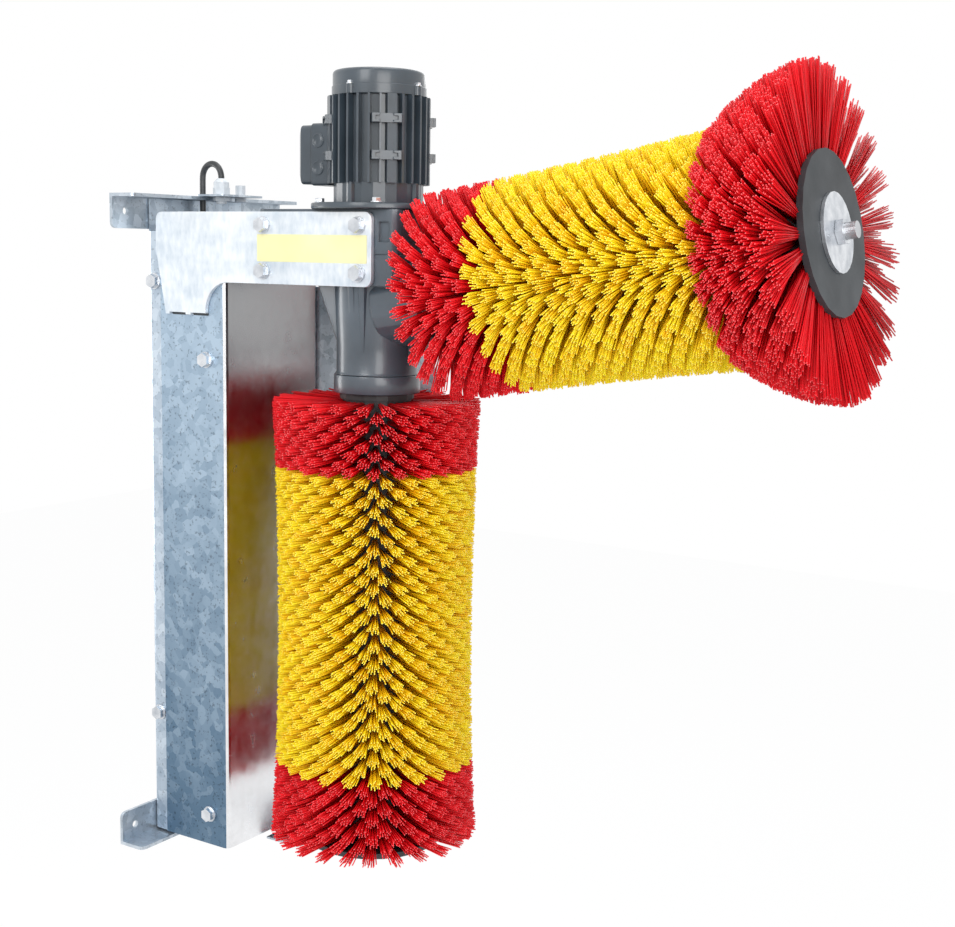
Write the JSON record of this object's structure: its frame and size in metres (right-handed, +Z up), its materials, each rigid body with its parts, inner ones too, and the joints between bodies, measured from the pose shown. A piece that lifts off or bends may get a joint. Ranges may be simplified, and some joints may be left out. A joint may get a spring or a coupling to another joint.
{
  "type": "rotating cow brush",
  "caption": "Motor-driven livestock brush: an upright and a tilted bristle cylinder hang from a gear unit on a galvanised wall column.",
  "frame": {"origin": "centre of the top wall rail's back face, on the plane that holds the motor's axis", "axes": "+X out from the wall, +Y along the wall towards the guard plate, +Z up"},
  "size_m": [1.069, 0.44, 1.1486],
  "materials": {
    "galvanised_steel": "hot-dip galvanised, mottled",
    "zinc_plate": "zinc plated",
    "painted_casting": "dark blue-grey semi-gloss paint over cast iron",
    "painted_aluminium": "dark blue-grey semi-gloss paint over cast aluminium",
    "machined_steel": "machined",
    "stator_core": "laminated iron with copper winding",
    "black_plastic": "matte",
    "pale_plastic": "satin",
    "red_bristles": "glossy nylon bristles",
    "yellow_bristles": "glossy nylon bristles",
    "black_rubber": "matte",
    "cable_sheath": "satin"
  },
  "bodies": {
    "frame": {"top_wall_rail": "galvanised_steel", "bottom_wall_rail": "galvanised_steel", "back_channel": "galvanised_steel", "front_cover": "galvanised_steel", "guard_plate": "galvanised_steel", "near_arm_plate": "galvanised_steel", "far_arm_plate": "galvanised_steel", "gland_plate": "galvanised_steel", "cable_gland": "pale_plastic", "blanking_plug": "pale_plastic", "power_cable": "cable_sheath", "near_arm_bolt_inner_upper": "zinc_plate", "near_arm_bolt_inner_lower": "zinc_plate", "near_arm_bolt_outer_upper": "zinc_plate", "near_arm_bolt_outer_lower": "zinc_plate", "far_arm_bolt_inner_upper": "zinc_plate", "far_arm_bolt_inner_lower": "zinc_plate", "far_arm_bolt_outer_upper": "zinc_plate", "far_arm_bolt_outer_lower": "zinc_plate", "cover_bolt_upper": "zinc_plate", "cover_bolt_lower": "zinc_plate", "channel_bolt_upper": "zinc_plate", "channel_bolt_lower": "zinc_plate", "upper_gear_case": "painted_casting", "lower_gear_case": "painted_casting", "output_bearing_cap": "painted_casting", "side_bearing_cap": "painted_casting", "input_flange": "painted_casting", "bearing_carrier": "machined_steel", "compound_axle": "machined_steel", "upper_shaft_bearing": "machined_steel", "lower_shaft_bearing": "machined_steel", "side_shaft_bearing": "machined_steel", "motor_frame": "painted_aluminium", "motor_end_cap": "painted_aluminium", "motor_bearing_upper": "machined_steel", "motor_bearing_lower": "machined_steel", "motor_stator": "stator_core", "terminal_box": "painted_aluminium", "terminal_box_lid": "painted_aluminium"},
    "compound_gear": {"compound_gear": "machined_steel"},
    "motor_rotor": {"motor_rotor": "machined_steel"},
    "vertical_brush": {"vertical_shaft": "machined_steel", "output_wheel": "machined_steel", "vertical_bevel_gear": "machined_steel", "vertical_brush_core": "black_plastic", "vertical_bristles_top": "red_bristles", "vertical_bristles_middle": "yellow_bristles", "vertical_bristles_bottom": "red_bristles", "vertical_end_disc": "black_rubber", "vertical_end_nut": "zinc_plate"},
    "side_brush": {"side_shaft": "machined_steel", "side_bevel_gear": "machined_steel", "side_brush_core": "black_plastic", "side_bristles_inner": "red_bristles", "side_bristles_middle": "yellow_bristles", "side_bristles_outer": "red_bristles", "side_end_disc": "black_rubber", "side_end_washer": "galvanised_steel", "side_end_nut": "zinc_plate"}
  },
  "joints": [
    {"name": "vertical_brush_spin", "type": "hinge", "parent": "frame", "child": "vertical_brush", "pos_m": [0.388, 0, 0], "axis": [0, 0, 1], "continuous": true},
    {"name": "side_brush_spin", "type": "hinge", "parent": "frame", "child": "side_brush", "pos_m": [0.388, 0, -0.1308], "axis": [0.9863, 0, 0.165], "continuous": true},
    {"name": "compound_gear_spin", "type": "hinge", "parent": "frame", "child": "compound_gear", "pos_m": [0.343, 0, 0], "axis": [0, 0, 1], "continuous": true},
    {"name": "motor_rotor_spin", "type": "hinge", "parent": "frame", "child": "motor_rotor", "pos_m": [0.388, 0, 0], "axis": [0, 0, 1], "continuous": true}
  ],
  "couplings": [
    {"joint": "side_brush_spin", "follows": "vertical_brush_spin", "ratio": -1},
    {"joint": "compound_gear_spin", "follows": "vertical_brush_spin", "ratio": -4},
    {"joint": "motor_rotor_spin", "follows": "vertical_brush_spin", "ratio": 16}
  ]
}
